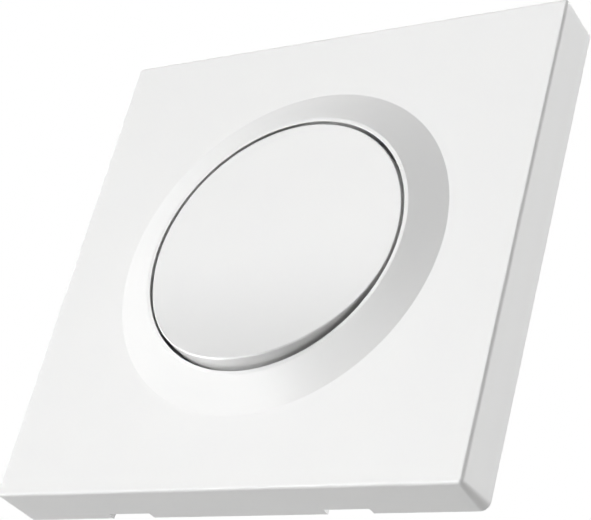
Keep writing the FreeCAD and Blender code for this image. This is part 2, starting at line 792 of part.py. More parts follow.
def varistor():
    """Coated disc on two square leads."""
    centre_y = power_rear_y + varistor_lift + varistor_r
    x = (varistor_x - varistor_t / 2, varistor_x + varistor_t / 2)
    disc = cross_rod(varistor_r, x, centre_y, varistor_z)
    lead_y = (power_rear_y, centre_y)
    lead_x = (varistor_x - lead_w / 2, varistor_x + lead_w / 2)
    leads = [block(lead_x, lead_y, (z - lead_w / 2, z + lead_w / 2))
             for z in (varistor_z - lead_spread, varistor_z + lead_spread)]
    return joined(disc, leads)


def terminal_block():
    """Moulded block with a wire well, a clamp cavity and a button channel for each terminal."""
    half = block_w / 2
    shoulder_y = housing_floor_y - block_step_play
    body = block((-half, half), (power_rear_y, shoulder_y), (block_low_z, block_high_z))
    nose = block((-half + block_step, half - block_step), (shoulder_y - over, nose_end_y),
                 (block_low_z + block_step, block_high_z - block_step))
    rear_y = (cavity_end_y - over, nose_end_y + over)
    cuts = []
    for x in terminal_xs:
        well_x = (x - well_w / 2, x + well_w / 2)
        button_half = button_w / 2 + button_play
        cuts.append(block(well_x, rear_y, (well_low_z, well_high_z)))
        cuts.append(block(well_x, (power_rear_y - over, cavity_end_y), (well_low_z, cavity_high_z)))
        cuts.append(block((x - button_half, x + button_half), rear_y,
                          (button_low_z - button_play, button_high_z + button_play)))
    return joined(body, [nose]).cut(cuts).removeSplitter()


def terminal_busbars():
    """Brass contact bar on the floor of each cavity, ending on the power board."""
    half = well_w / 2 - busbar_play
    y = (power_rear_y, cavity_end_y - busbar_short)
    z = (well_low_z, well_low_z + busbar_t)
    return Part.makeCompound([block((x - half, x + half), y, z) for x in terminal_xs])


def clamp_spring(x):
    """Leaf spring of one terminal: anchored above, bent at the button, its tip on the busbar."""
    half = well_w / 2 - clamp_play
    top_z = cavity_high_z - clamp_t / 2 - clamp_gap
    tip_z = well_low_z + busbar_t + clamp_t / 2 + clamp_gap
    face_y = cavity_end_y - button_foot_t - 2 * foot_gap - clamp_t
    face_z = button_low_z + button_h / 2
    path = [(power_rear_y + clamp_anchor, top_z), (face_y - clamp_bend, top_z), (face_y, face_z),
            (face_y, face_z - clamp_face_h), (power_rear_y + clamp_tip, tip_z)]
    return strip(path, clamp_t, (x - half, x + half))


def release_button(x):
    """Push bar that opens one clamp: a shank in the channel and a foot behind the leaf."""
    wide = (x - button_w / 2, x + button_w / 2)
    foot_y = (cavity_end_y - button_foot_t - foot_gap, cavity_end_y - foot_gap)
    end_y = nose_end_y + button_travel
    shank = block(wide, (foot_y[0], end_y), (button_low_z, button_high_z))
    rear = [e for e in shank.Edges if e.BoundBox.YMin > end_y - bite]
    foot = block(wide, foot_y, (well_high_z + button_foot_lift, button_high_z + button_foot_top))
    return joined(shank.makeChamfer(button_edge, rear), [foot])


def pieces():
    """Every sub-part by name."""
    found = {
        "cover_frame": cover_frame(),
        "support_frame": support_frame(),
        "rocker_cap": rocker_cap(),
        "rocker_carrier": rocker_carrier(),
        "rocker_axle": rocker_axle(),
        "return_leaf": return_leaf(),
        "front_chassis": front_chassis(),
        "housing_screws": housing_screws(),
        "rear_housing": rear_housing(),
        "control_board": board(control_board_r, control_board_y),
        "tact_switch_body": tact_switch_body(),
        "tact_switch_cover": tact_switch_cover(),
        "tact_switch_stem": tact_switch_stem(),
        "radio_module": radio_module(),
        "radio_shield": radio_shield(),
        "board_header": board_header(),
        "power_board": board(power_board_r, power_board_y),
        "relay": relay(),
        "transformer_core": transformer_core(),
        "transformer_bobbin": transformer_bobbin(),
        "bulk_capacitor": upright_can(capacitor_r, capacitor_h, capacitor_edge, capacitor_x, capacitor_z),
        "varistor": varistor(),
        "fuse": upright_can(fuse_r, fuse_h, fuse_edge, fuse_x, fuse_z),
        "terminal_block": terminal_block(),
        "terminal_busbars": terminal_busbars(),
    }
    for i, x in enumerate(terminal_xs, 1):
        found[f"clamp_spring_{i}"] = clamp_spring(x)
        found[f"release_button_{i}"] = release_button(x)
    return found


def main():
    os.makedirs("parts", exist_ok=True)
    for name, shape in pieces().items():
        if not shape.isValid() or shape.Volume <= 0:
            print(f"{name}: not a valid solid")
        shape.exportStep(f"parts/{name}.step")


main()
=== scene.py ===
import json
import math

import bpy
import numpy as np
from mathutils import Matrix, Vector


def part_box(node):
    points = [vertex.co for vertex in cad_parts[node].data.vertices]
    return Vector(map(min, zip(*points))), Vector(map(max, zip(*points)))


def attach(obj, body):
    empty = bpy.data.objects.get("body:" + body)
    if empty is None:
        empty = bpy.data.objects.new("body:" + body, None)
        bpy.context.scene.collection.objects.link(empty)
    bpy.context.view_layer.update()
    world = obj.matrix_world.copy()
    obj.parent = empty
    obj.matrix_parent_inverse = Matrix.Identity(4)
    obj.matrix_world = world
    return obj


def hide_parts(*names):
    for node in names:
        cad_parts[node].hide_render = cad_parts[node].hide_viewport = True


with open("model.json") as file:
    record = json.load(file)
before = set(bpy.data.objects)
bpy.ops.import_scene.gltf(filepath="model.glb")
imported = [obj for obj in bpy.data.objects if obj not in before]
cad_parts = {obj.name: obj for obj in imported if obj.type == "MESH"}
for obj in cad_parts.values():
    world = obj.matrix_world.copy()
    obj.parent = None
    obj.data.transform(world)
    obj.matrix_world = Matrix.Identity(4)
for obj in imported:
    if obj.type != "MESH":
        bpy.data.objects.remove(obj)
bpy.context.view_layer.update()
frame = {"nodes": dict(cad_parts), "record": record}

# A flush-mounted smart light switch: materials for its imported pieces, a finely curved cover frame and
# rocker cap, a pale floor, soft light and the photograph's camera.
# Row frame: X to the right, Z up, Y into the wall. Lengths here are in millimetres until a mesh is made.
mm = 0.001


def node_box(node):
    """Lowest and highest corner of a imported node, in millimetres."""
    low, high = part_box(node)
    return np.array(low) / mm, np.array(high) / mm


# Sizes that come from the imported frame
frame_low, frame_high = node_box("cover_frame")
plate_half = frame_high[0]
rim_y = frame_low[1]
cap_r = node_box("rocker_cap")[1][0]
carrier_front_y = node_box("rocker_carrier")[0][1]

# Cover frame
plate_depth = 8.4
front_corner_r = 0.8
rear_corner_r = 1.5
plate_edge_r = 0.5
inner_corner_r = 0.1
side_wall = 1.8
front_wall = 1.8
ring_foot_r = 28.9
ring_run = 5.8
rim_width = 0.66
collar_wall = 1.4
collar_rear_y = -3.0
land_front = 0.08
land_rear = 1.0
land_relief = 0.7
moulded_edge_r = 0.12
rim_edge_r = 0.06
land_edge_r = 0.03
rim_cone_r = 0.12
cone_foot_r = 0.4
inner_fillet_r = 0.3
rib_count = 8
rib_t = 1.0
rib_rear_y = -5.1
rib_overlap = 0.2
notch_depth = 1.4
notch_edges = (-23.75, -16.05, 14.95, 22.65)
notch_slant = 0.04

# Snap arms
arm_in_x = 35.8
arm_t = 1.2
arm_end_y = -1.5
arm_low_z = 17.0
arm_high_z = 23.0
arm_overlap = 0.3
barb_reach = 1.2
barb_h = 1.5
barb_tip_h = 0.5

# Rocker cap
cap_wall = 1.4
cap_edge_r = 0.18
lip_edge_r = 0.22
lip_draft = 0.07
skirt_reach = 3.4
cap_rear_y = rim_y + skirt_reach
scoop_start = 3.0
scoop_r = 73.0
hook_angles = (15.0, 165.0, 235.0, 305.0)
hook_r = 15.48
hook_t = 1.1
hook_w = 4.0
hook_barb = 0.5
hook_catch_y = -6.75
pad_w = 3.0
pad_turn = 22.0

# Fineness of the grids, where their flat runs begin and end, and how far their columns keep from a notch
columns_per_side = 90
corner_columns = 12
flat_rows = 4
cap_columns = 360
cap_rings = 26
arc_points = 7
ease = 0.04
foot_run = 0.7
plate_edge_run = 1.0
ceiling_run = 2.6
skirt_run = 0.5
notch_clearance = 0.12
sharp_angle = 30.0

# A wave texture at scale 1 draws this many lines along one unit of its coordinates
wave_lines = 20 / (2 * math.pi)

face_y = -plate_depth
ceiling_y = face_y + front_wall
rim_outer_r = ring_foot_r - ring_run
hole_r = rim_outer_r - rim_width
collar_r = hole_r + collar_wall
skirt_in_r = cap_r - cap_wall
cone_slope = (face_y - rim_y) / ring_run
hollow_y = ceiling_y - cone_slope * (ring_foot_r - collar_r)
draft_end_y = rim_y + 2 * cap_edge_r


def rounded(points, radii):
    """An open profile with its inner corners rounded.

    At each corner the arc has the given radius and touches both runs. Its points are spaced evenly in
    angle, between the two radii drawn to where it touches. One more point lies a little before and after
    each arc, which keeps the shading of the straight runs flat.
    """
    points = np.array(points, float)
    parts = [points[:1]]
    for before, corner, after, radius in zip(points, points[1:], points[2:], radii):
        back = (before - corner) / np.linalg.norm(before - corner)
        ahead = (after - corner) / np.linalg.norm(after - corner)
        half = math.acos(np.clip(back @ ahead, -1, 1)) / 2
        touch = radius / math.tan(half)
        centre = corner + (back + ahead) / np.linalg.norm(back + ahead) * radius / math.sin(half)
        first = corner + back * touch - centre
        last = corner + ahead * touch - centre
        turn = math.pi - 2 * half
        s = np.linspace(0, turn, arc_points)[:, None]
        arc = centre + (np.sin(turn - s) * first + np.sin(s) * last) / math.sin(turn)
        parts += [corner + back[None] * (touch + ease), arc, corner + ahead[None] * (touch + ease)]
    parts.append(points[-1:])
    return np.concatenate(parts)


def outward(points, faces):
    """The faces as lists, turned round if the shell's volume comes out negative."""
    volume = 0.0
    for corners in {len(f) for f in faces}:
        same = np.array([f for f in faces if len(f) == corners])
        for i in range(1, corners - 1):
            a, b, c = points[same[:, 0]], points[same[:, i]], points[same[:, i + 1]]
            volume += np.einsum("ij,ij->", a, np.cross(b, c))
    return faces if volume > 0 else [f[::-1] for f in faces]


def ring_shell(grid):
    """A closed shell from a grid of points (row, column, xyz) whose rows and columns both run round."""
    rows, columns = grid.shape[:2]
    index = np.arange(rows * columns).reshape(rows, columns)
    below = np.roll(index, -1, axis=0)
    quads = np.stack([index, np.roll(index, -1, axis=1), np.roll(below, -1, axis=1), below], axis=-1)
    points = grid.reshape(-1, 3)
    return points, outward(points, quads.reshape(-1, 4).tolist())


def capped_shell(grid, first, last):
    """A closed shell from a grid whose columns run round, drawn together at a point at either end."""
    rows, columns = grid.shape[:2]
    index = np.arange(rows * columns).reshape(rows, columns)
    beside = np.roll(index, -1, axis=1)
    quads = np.stack([index[:-1], beside[:-1], beside[1:], index[1:]], axis=-1).reshape(-1, 4).tolist()
    poles = rows * columns
    start = np.stack([beside[0], index[0], np.full(columns, poles)], axis=-1).tolist()
    end = np.stack([index[-1], beside[-1], np.full(columns, poles + 1)], axis=-1).tolist()
    points = np.concatenate([grid.reshape(-1, 3), [first, last]])
    return points, outward(points, quads + start + end)


def prism(outline, across, angle):
    """An outline of (radius, y) points carried across from one side to the other, at an angle round Y."""
    outline = np.array(outline, float)
    count = len(outline)
    turn = math.radians(angle)
    r = np.tile(outline[:, 0], 2)
    y = np.tile(outline[:, 1], 2)
    w = np.repeat(across, count)
    cos, sin = math.cos(turn), math.sin(turn)
    points = np.stack([r * cos - w * sin, y, r * sin + w * cos], -1)
    ahead = (np.arange(count) + 1) % count
    sides = np.stack([np.arange(count), ahead, ahead + count, np.arange(count) + count], -1).tolist()
    ends = [list(range(count))[::-1], list(range(count, 2 * count))]
    return points, outward(points, sides + ends)


def mirrored(shell, signs):
    """A shell with each axis multiplied by its sign."""
    points = shell[0] * np.array(signs, float)
    return points, outward(points, shell[1])


def solid_piece(name, shells, body, node):
    """One object from closed shells in millimetres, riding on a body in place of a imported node."""
    points = np.concatenate([s[0] for s in shells]) * mm
    starts = np.cumsum([0] + [len(s[0]) for s in shells[:-1]])
    faces = [[i + start for i in face] for start, s in zip(starts.tolist(), shells) for face in s[1]]
    mesh = bpy.data.meshes.new(name)
    mesh.from_pydata(points.tolist(), [], faces)
    mesh.shade_smooth()
    mesh.set_sharp_from_angle(angle=math.radians(sharp_angle))
    piece = bpy.data.objects.new(name, mesh)
    bpy.context.scene.collection.objects.link(piece)
    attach(piece, body)
    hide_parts(node)
    return piece


def plate_columns():
    """Where the grid's columns meet the plate's rounded square outline, anticlockwise from the right side.

    Each column has a corner point (cx, cz), from -1 to 1 on either axis, and an outward normal. A square
    of half width h with corner radius r has its column at (h - r) times the corner point plus r times the
    normal. Along a side the columns are spaced evenly in the angle seen from the middle, and round a
    corner evenly in the normal's angle. The lower side has a pair of columns at each notch edge.
    """
    centre = plate_half - rear_corner_r
    reach = math.atan2(centre, plate_half)
    side = np.tan(np.linspace(-reach, reach, columns_per_side)) * plate_half / centre
    edges = np.array(notch_edges)
    pairs = np.concatenate([edges - notch_slant, edges + notch_slant]) / centre
    near = np.abs(side[:, None] * centre - edges[None, :]).min(1) < notch_clearance
    lower = np.sort(np.concatenate([side[~near], pairs]))
    corner = np.linspace(0, math.pi / 2, corner_columns + 2)[1:-1]
    found = []
    for quarter, along in enumerate((side, side, side, lower)):
        turn = quarter * math.pi / 2
        one, zero = np.ones_like(along), np.zeros_like(along)
        cx = np.concatenate([one, np.ones_like(corner)])
        cz = np.concatenate([along, np.ones_like(corner)])
        nx = np.concatenate([one, np.cos(corner)])
        nz = np.concatenate([zero, np.sin(corner)])
        c, s = math.cos(turn), math.sin(turn)
        found.append(np.stack([c * cx - s * cz, s * cx + c * cz, c * nx - s * nz, s * nx + c * nz]))
    return np.concatenate(found, axis=1)


def square_row(columns, offset, y):
    """The columns' x and z on the plate's outline at depth y, moved in by offset.

    The corner radius grows evenly from the plate's face to its rear edge.
    """
    corner_r = rear_corner_r + (rear_corner_r - front_corner_r) * y / plate_depth
    radius = max(corner_r - offset, inner_corner_r)
    half = plate_half - offset
    return (half - radius) * columns[:2] + radius * columns[2:]


def circle_row(columns, radius):
    """The columns' x and z on a circle, at the angles that they have on the plate's outline."""
    edge = square_row(columns, 0, 0)
    return radius * edge / np.linalg.norm(edge, axis=0)


def blend_rows(inner, outer, y):
    """Rows between two others in a flat face, spaced evenly."""
    shares = np.linspace(0, 1, flat_rows + 2)[1:-1]
    return [(inner + (outer - inner) * share, np.full(inner.shape[1], y)) for share in shares]


def cover_grid():
    """The cover frame's skin as one closed loop of profile, carried round all columns.

    The loop runs from the hole's wall over the rim, down the cone to the flat face, over the plate's
    edge, down its side, in at the back, along the ceiling and up behind the cone to the collar. The hole
    is relieved between a narrow land at its rim and one at its rear, which keeps the gap dark. Near the
    centre the rows are circles, and near the edge they are rounded squares. The notches push the rows of
    the side wall's rear edge forwards.
    """
    columns = plate_columns()
    count = columns.shape[1]
    mid_y = (rim_y + collar_rear_y) / 2
    land_y = rim_y + land_front
    relief_y = collar_rear_y - land_rear
    relief_r = hole_r + land_relief
    front = rounded(
        [(relief_r, mid_y), (relief_r, land_y + land_relief), (hole_r, land_y), (hole_r, rim_y),
         (rim_outer_r, rim_y), (ring_foot_r, face_y), (ring_foot_r + foot_run, face_y)],
        [rim_edge_r, land_edge_r, rim_edge_r, rim_cone_r, cone_foot_r])
    edge = rounded(
        [(plate_edge_run, face_y), (0.0, face_y), (0.0, 0.0), (side_wall, 0.0), (side_wall, ceiling_y),
         (ceiling_run, ceiling_y)],
        [plate_edge_r, moulded_edge_r, moulded_edge_r, inner_fillet_r])
    inside = rounded(
        [(ring_foot_r + foot_run, ceiling_y), (ring_foot_r, ceiling_y), (collar_r, hollow_y),
         (collar_r, collar_rear_y), (hole_r, collar_rear_y), (hole_r, relief_y),
         (relief_r, relief_y - land_relief), (relief_r, mid_y)],
        [inner_fillet_r, inner_fillet_r, moulded_edge_r, moulded_edge_r, moulded_edge_r, moulded_edge_r])
    lower = np.isclose(columns[1], -1)
    x = columns[0] * (plate_half - rear_corner_r)
    left, left_end, right, right_end = notch_edges
    notched = lower & (((x > left) & (x < left_end)) | ((x > right) & (x < right_end)))
    rows = [(circle_row(columns, r), np.full(count, y)) for r, y in front]
    rows += blend_rows(rows[-1][0], square_row(columns, edge[0][0], face_y), face_y)
    for offset, y in edge:
        at_rear = notched & (y > -notch_depth)
        rows.append((square_row(columns, offset, y), np.where(at_rear, y - notch_depth, y)))
    rows += blend_rows(rows[-1][0], circle_row(columns, inside[0][0]), ceiling_y)
    rows += [(circle_row(columns, r), np.full(count, y)) for r, y in inside[:-1]]
    return np.array([np.stack([xz[0], y, xz[1]], -1) for xz, y in rows])


def frame_ribs():
    """The ribs behind the front wall, each an outline in its own radial plane, carried across its width."""
    ribs = []
    root_r = collar_r - rib_overlap
    root_y = ceiling_y - rib_overlap
    for i in range(rib_count):
        angle = 360 / rib_count * (i + 0.5)
        turn = math.radians(angle)
        far = (plate_half - side_wall / 2) / max(abs(math.cos(turn)), abs(math.sin(turn)))
        outline = [(root_r, hollow_y - rib_overlap), (ring_foot_r, root_y), (far, root_y), (far, rib_rear_y),
                   (root_r, rib_rear_y)]
        ribs.append(prism(outline, (-rib_t / 2, rib_t / 2), angle))
    return ribs


def snap_arms():
    """Four barbed arms: one outline across its width, mirrored to the other three places."""
    out_x = arm_in_x + arm_t
    tip_x = arm_in_x - barb_reach
    top_y = arm_end_y - barb_h
    root_y = ceiling_y - arm_overlap
    outline = [(out_x, root_y), (out_x, arm_end_y), (arm_in_x, arm_end_y), (tip_x, top_y + barb_tip_h),
               (tip_x, top_y), (arm_in_x, top_y), (arm_in_x, root_y)]
    arm = prism(outline, (arm_low_z, arm_high_z), 0)
    return [mirrored(arm, (sx, 1, sz)) for sx in (1, -1) for sz in (1, -1)]


def scooped(z, inset):
    """Depth of the cap's face at height z, moved in by inset.

    It is flat above, and below the scoop's start it is an arc round a line in front of the face.
    """
    below = np.minimum(z + scoop_start, 0)
    return rim_y - scoop_r + np.sqrt((scoop_r + inset) ** 2 - below ** 2)


def cap_grid():
    """The rocker cap's skin in polar rows, from the middle of its face round the rim to its inside.

    Face rows lie on the scooped depth. The edge rows are a blend of a quarter circle, above, and a straight
    chamfer, at the lip, both hung from the face's depth. The chamfer's share is the square of the sine
    below the middle. In front of the rim the skirt draws in towards the lip, by its draft times the face's
    height over the rim. Behind that, its rows are circles at fixed depths.
    """
    theta = np.linspace(0, 2 * math.pi, cap_columns, endpoint=False)
    cos, sin = np.cos(theta), np.sin(theta)
    edge = np.linspace(0, math.pi / 2, arc_points)
    low = np.minimum(sin, 0) ** 2
    edge_r = cap_edge_r + (lip_edge_r - cap_edge_r) * low
    outer = cap_r - lip_draft * (rim_y - scooped(cap_r * sin, 0))
    inner = outer - edge_r
    rows = [(r, scooped(r * sin, 0)) for r in np.linspace(0, inner - ease, cap_rings)[1:]]
    for a in edge:
        chamfer = a / edge[-1]
        r = inner + edge_r * (math.sin(a) * (1 - low) + chamfer * low)
        rows.append((r, scooped(r * sin, 0) + edge_r * ((1 - math.cos(a)) * (1 - low) + chamfer * low)))
    rows.append((outer, scooped(outer * sin, 0) + edge_r + ease))
    flat = np.ones(cap_columns)
    rows.append((cap_r, draft_end_y * flat))
    skirt = rounded([(cap_r, cap_rear_y - skirt_run), (cap_r, cap_rear_y), (skirt_in_r, cap_rear_y),
                     (skirt_in_r, cap_rear_y - skirt_run)], [moulded_edge_r, moulded_edge_r])
    rows += [(r, y * flat) for r, y in skirt]
    inside = skirt_in_r - inner_fillet_r
    rows.append((skirt_in_r, scooped(skirt_in_r * sin, cap_wall) + inner_fillet_r + ease))
    for a in edge:
        r = inside + inner_fillet_r * math.cos(a)
        rows.append((r, scooped(r * sin, cap_wall) + inner_fillet_r * (1 - math.sin(a))))
    rows += [(r, scooped(r * sin, cap_wall)) for r in np.linspace(inside - ease, 0, cap_rings)[:-1]]
    return np.array([np.stack([r * cos, y, r * sin], -1) for r, y in rows])


def cap_hooks():
    """Four hooks that grip the carrier, and beside each a pad that rests on it."""
    shells = []
    for angle in hook_angles:
        half = hook_t / 2
        top = float(scooped(hook_r * math.sin(math.radians(angle)), cap_wall / 2))
        end = hook_catch_y + 2 * hook_barb
        outline = [(hook_r - half, top), (hook_r + half, top), (hook_r + half, hook_catch_y),
                   (hook_r + half + hook_barb, hook_catch_y), (hook_r + half, end), (hook_r - half, end)]
        shells.append(prism(outline, (-hook_w / 2, hook_w / 2), angle))
        half = pad_w / 2
        turned = angle + pad_turn
        top = float(scooped((hook_r + half) * math.sin(math.radians(turned)), cap_wall / 2))
        outline = [(hook_r - half, top), (hook_r + half, top), (hook_r + half, carrier_front_y),
                   (hook_r - half, carrier_front_y)]
        shells.append(prism(outline, (-half, half), turned))
    return shells


def cover_frame():
    """The cover frame in one piece: skin, ribs and snap arms."""
    shells = [ring_shell(cover_grid())] + frame_ribs() + snap_arms()
    return solid_piece("cover_frame_moulding", shells, "wall_side", "cover_frame")


def rocker_cap():
    """The rocker cap in one piece: skin, hooks and pads."""
    first = (0, float(scooped(0.0, 0)), 0)
    last = (0, float(scooped(0.0, cap_wall)), 0)
    shells = [capped_shell(cap_grid(), first, last)] + cap_hooks()
    return solid_piece("rocker_cap_moulding", shells, "rocker", "rocker_cap")


def paint(code):
    """A colour written as sRGB hex, turned to linear red, green, blue and alpha."""
    parts = [int(code[i:i + 2], 16) / 255 for i in (1, 3, 5)]
    return tuple(p / 12.92 if p <= 0.04045 else ((p + 0.055) / 1.055) ** 2.4 for p in parts) + (1.0,)


def per_mm(size):
    """Texture scale that gives features of this size in millimetres, on coordinates in metres."""
    return 1 / (size * mm)


def add(tree, kind, inputs=None, **settings):
    """Add a node with its settings.

    Each input gets a value, an output, or a node's first live output. It goes by its name, or by its place
    where several share a name, as in a colour mix, which has its share at 0 and its colours at 6 and 7.
    """
    node = tree.nodes.new(kind)
    for name, value in settings.items():
        setattr(node, name, value)
    for name, value in (inputs or {}).items():
        if isinstance(value, bpy.types.Node):
            value = [output for output in value.outputs if output.enabled][0]
        if isinstance(value, bpy.types.NodeSocket):
            tree.links.new(value, node.inputs[name])
        else:
            node.inputs[name].default_value = value
    return node


def fresh(name):
    """An empty material, its node tree and the Object coordinates, which are metres in the row's frame."""
    made = bpy.data.materials.new(name)
    made.use_nodes = True
    made.node_tree.nodes.clear()
    return made, made.node_tree, add(made.node_tree, "ShaderNodeTexCoord").outputs["Object"]


# The grain and pits of the white and the anthracite plastic, the lines on the metals and the ferrite's
# grains are too fine to show in the render, so they are drawn a few times as coarse as real ones.
def moulded_polycarbonate_white():
    """Polycarbonate, injection moulded, pure white: a fine spark-eroded grain gives a soft satin sheen."""
    made, tree, place = fresh("moulded polycarbonate white")
    grain = add(tree, "ShaderNodeTexNoise", {"Vector": place, "Scale": per_mm(0.18), "Detail": 2.0})
    cloud = add(tree, "ShaderNodeTexNoise", {"Vector": place, "Scale": per_mm(9.0), "Detail": 1.0})
    tint = add(tree, "ShaderNodeMix", {0: cloud, 6: paint("#F2F2F2"), 7: paint("#F4F4F3")}, data_type="RGBA")
    sheen = add(tree, "ShaderNodeMapRange", {"Value": grain, "To Min": 0.26, "To Max": 0.34})
    bump = add(tree, "ShaderNodeBump", {"Height": grain, "Strength": 0.25, "Distance": 0.004 * mm})
    shader = add(tree, "ShaderNodeBsdfPrincipled",
                 {"Base Color": tint, "Roughness": sheen, "Normal": bump, "IOR": 1.58})
    add(tree, "ShaderNodeOutputMaterial", {"Surface": shader})
    return made


def glass_filled_polyamide_grey():
    """Polyamide with short glass fibres, injection moulded, pale grey: flow streaks and a dull skin."""
    made, tree, place = fresh("glass filled polyamide grey")
    flow = add(tree, "ShaderNodeMapping", {"Vector": place, "Scale": (1.0, 0.2, 1.0)})
    streak = add(tree, "ShaderNodeTexNoise",
                 {"Vector": flow, "Scale": per_mm(0.7), "Detail": 4.0, "Roughness": 0.6})
    skin = add(tree, "ShaderNodeTexNoise", {"Vector": place, "Scale": per_mm(0.25), "Detail": 3.0})
    tint = add(tree, "ShaderNodeMix", {0: streak, 6: paint("#BDC1C4"), 7: paint("#CFD1D2")}, data_type="RGBA")
    sheen = add(tree, "ShaderNodeMapRange", {"Value": skin, "To Min": 0.42, "To Max": 0.64})
    bump = add(tree, "ShaderNodeBump", {"Height": skin, "Strength": 0.5, "Distance": 0.01 * mm})
    shader = add(tree, "ShaderNodeBsdfPrincipled",
                 {"Base Color": tint, "Roughness": sheen, "Normal": bump, "IOR": 1.53})
    add(tree, "ShaderNodeOutputMaterial", {"Surface": shader})
    return made


def spark_eroded_polycarbonate_anthracite():
    """Flame-retardant polycarbonate, moulded, anthracite: coarse spark-eroded pits break up its sheen."""
    made, tree, place = fresh("spark eroded polycarbonate anthracite")
    pits = add(tree, "ShaderNodeTexVoronoi", {"Vector": place, "Scale": per_mm(0.4)}, feature="SMOOTH_F1")
    cloud = add(tree, "ShaderNodeTexNoise", {"Vector": place, "Scale": per_mm(6.0), "Detail": 3.0})
    tint = add(tree, "ShaderNodeMix", {0: cloud, 6: paint("#2B2D30"), 7: paint("#36383C")}, data_type="RGBA")
    sheen = add(tree, "ShaderNodeMapRange", {"Value": pits, "To Min": 0.42, "To Max": 0.62})
    bump = add(tree, "ShaderNodeBump", {"Height": pits, "Strength": 0.6, "Distance": 0.02 * mm})
    shader = add(tree, "ShaderNodeBsdfPrincipled",
                 {"Base Color": tint, "Roughness": sheen, "Normal": bump, "IOR": 1.58})
    add(tree, "ShaderNodeOutputMaterial", {"Surface": shader})
    return made


def moulded_polyester_black():
    """Thermoplastic polyester, moulded, black: smooth and a little glossy, with a faint haze."""
    made, tree, place = fresh("moulded polyester black")
    haze = add(tree, "ShaderNodeTexNoise", {"Vector": place, "Scale": per_mm(0.9), "Detail": 3.0})
    tint = add(tree, "ShaderNodeMix", {0: haze, 6: paint("#101113"), 7: paint("#1B1C1F")}, data_type="RGBA")
    sheen = add(tree, "ShaderNodeMapRange", {"Value": haze, "To Min": 0.26, "To Max": 0.44})
    bump = add(tree, "ShaderNodeBump", {"Height": haze, "Strength": 0.3, "Distance": 0.008 * mm})
    shader = add(tree, "ShaderNodeBsdfPrincipled",
                 {"Base Color": tint, "Roughness": sheen, "Normal": bump, "IOR": 1.55})
    add(tree, "ShaderNodeOutputMaterial", {"Surface": shader})
    return made


def moulded_polyamide_orange():
    """Polyamide, moulded, orange: strong colour, a waxy half-gloss skin and drag marks along its travel."""
    made, tree, place = fresh("moulded polyamide orange")
    drag = add(tree, "ShaderNodeMapping", {"Vector": place, "Scale": (1.0, 0.08, 1.0)})
    marks = add(tree, "ShaderNodeTexNoise", {"Vector": drag, "Scale": per_mm(0.25), "Detail": 3.0})
    tint = add(tree, "ShaderNodeMix", {0: marks, 6: paint("#DF5F17"), 7: paint("#EE7729")}, data_type="RGBA")
    sheen = add(tree, "ShaderNodeMapRange", {"Value": marks, "To Min": 0.32, "To Max": 0.52})
    bump = add(tree, "ShaderNodeBump", {"Height": marks, "Strength": 0.4, "Distance": 0.006 * mm})
    shader = add(tree, "ShaderNodeBsdfPrincipled",
                 {"Base Color": tint, "Roughness": sheen, "Normal": bump, "IOR": 1.53})
    add(tree, "ShaderNodeOutputMaterial", {"Surface": shader})
    return made


def zinc_plated_sheet_steel():
    """Sheet steel, stamped and bright zinc plated: rolling lines along X under bluish, cloudy plating."""
    made, tree, place = fresh("zinc plated sheet steel")
    rolled = add(tree, "ShaderNodeMapping", {"Vector": place, "Scale": (0.04, 1.0, 1.0)})
    lines = add(tree, "ShaderNodeTexNoise", {"Vector": rolled, "Scale": per_mm(0.22), "Detail": 4.0})
    cloud = add(tree, "ShaderNodeTexNoise",
                {"Vector": place, "Scale": per_mm(7.0), "Detail": 4.0, "Roughness": 0.6})
    tint = add(tree, "ShaderNodeMix", {0: cloud, 6: paint("#A9AFB7"), 7: paint("#CACBC8")}, data_type="RGBA")
    sheen = add(tree, "ShaderNodeMapRange", {"Value": lines, "To Min": 0.22, "To Max": 0.46})
    bump = add(tree, "ShaderNodeBump", {"Height": lines, "Strength": 0.35, "Distance": 0.005 * mm})
    shader = add(tree, "ShaderNodeBsdfPrincipled",
                 {"Base Color": tint, "Roughness": sheen, "Normal": bump, "Metallic": 1.0})
    add(tree, "ShaderNodeOutputMaterial", {"Surface": shader})
    return made


def drawn_bright_steel():
    """Steel, cold drawn and left bright: very fine marks along X with a clean sheen between them."""
    made, tree, place = fresh("drawn bright steel")
    drawn = add(tree, "ShaderNodeMapping", {"Vector": place, "Scale": (0.05, 1.0, 1.0)})
    marks = add(tree, "ShaderNodeTexNoise", {"Vector": drawn, "Scale": per_mm(0.1), "Detail": 2.0})
    tint = add(tree, "ShaderNodeMix", {0: marks, 6: paint("#BFC0C1"), 7: paint("#D3D3D3")}, data_type="RGBA")
    sheen = add(tree, "ShaderNodeMapRange", {"Value": marks, "To Min": 0.14, "To Max": 0.28})
    bump = add(tree, "ShaderNodeBump", {"Height": marks, "Strength": 0.2, "Distance": 0.003 * mm})
    shader = add(tree, "ShaderNodeBsdfPrincipled",
                 {"Base Color": tint, "Roughness": sheen, "Normal": bump, "Metallic": 1.0})
    add(tree, "ShaderNodeOutputMaterial", {"Surface": shader})
    return made


